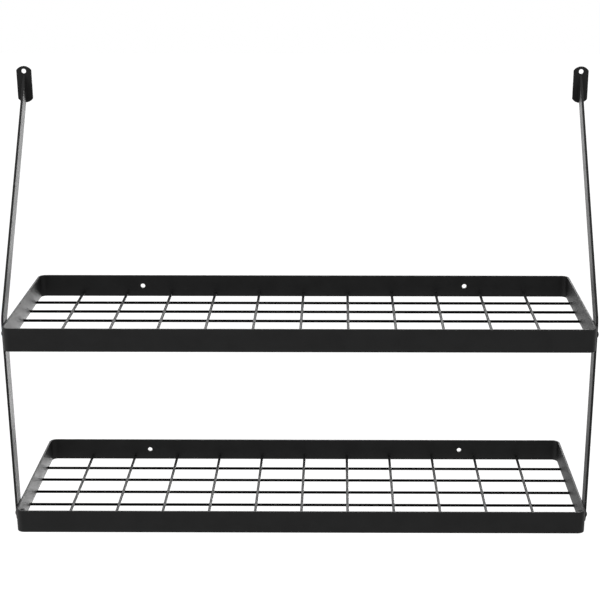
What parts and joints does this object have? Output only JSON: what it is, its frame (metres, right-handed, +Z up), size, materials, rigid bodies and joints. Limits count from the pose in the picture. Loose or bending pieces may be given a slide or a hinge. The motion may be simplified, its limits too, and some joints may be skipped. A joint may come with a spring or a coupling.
{
  "type": "wall-mounted pot rack",
  "caption": "Tiered wall rack for pots and pans: flat-bar rims around wire grid shelves, hung from the wall by bent side bars with screw tabs, in black coated steel.",
  "frame": {"origin": "on the wall plane, midway between the screw holes of the two wall tabs", "axes": "+X to the right, +Y into the wall, +Z up"},
  "size_m": [0.629, 0.19, 0.471],
  "materials": {
    "black_powder_coat": "semi-gloss black powder coat on steel",
    "black_fixings": "black coated steel screws and nuts"
  },
  "bodies": {
    "root": {"left_hanger_bar": "black_powder_coat", "left_wall_tab": "black_powder_coat", "lower_cross_wire_01": "black_powder_coat", "lower_cross_wire_02": "black_powder_coat", "lower_cross_wire_03": "black_powder_coat", "lower_cross_wire_04": "black_powder_coat", "lower_cross_wire_05": "black_powder_coat", "lower_cross_wire_06": "black_powder_coat", "lower_cross_wire_07": "black_powder_coat", "lower_cross_wire_08": "black_powder_coat", "lower_cross_wire_09": "black_powder_coat", "lower_cross_wire_10": "black_powder_coat", "lower_cross_wire_11": "black_powder_coat", "lower_long_wire_01": "black_powder_coat", "lower_long_wire_02": "black_powder_coat", "lower_long_wire_03": "black_powder_coat", "lower_long_wire_04": "black_powder_coat", "lower_long_wire_05": "black_powder_coat", "lower_shelf_rim": "black_powder_coat", "right_hanger_bar": "black_powder_coat", "right_wall_tab": "black_powder_coat", "upper_cross_wire_01": "black_powder_coat", "upper_cross_wire_02": "black_powder_coat", "upper_cross_wire_03": "black_powder_coat", "upper_cross_wire_04": "black_powder_coat", "upper_cross_wire_05": "black_powder_coat", "upper_cross_wire_06": "black_powder_coat", "upper_cross_wire_07": "black_powder_coat", "upper_cross_wire_08": "black_powder_coat", "upper_cross_wire_09": "black_powder_coat", "upper_cross_wire_10": "black_powder_coat", "upper_cross_wire_11": "black_powder_coat", "upper_long_wire_01": "black_powder_coat", "upper_long_wire_02": "black_powder_coat", "upper_long_wire_03": "black_powder_coat", "upper_long_wire_04": "black_powder_coat", "upper_long_wire_05": "black_powder_coat", "upper_shelf_rim": "black_powder_coat", "hanger_screws": "black_fixings", "hanger_nuts": "black_fixings"}
  },
  "joints": []
}
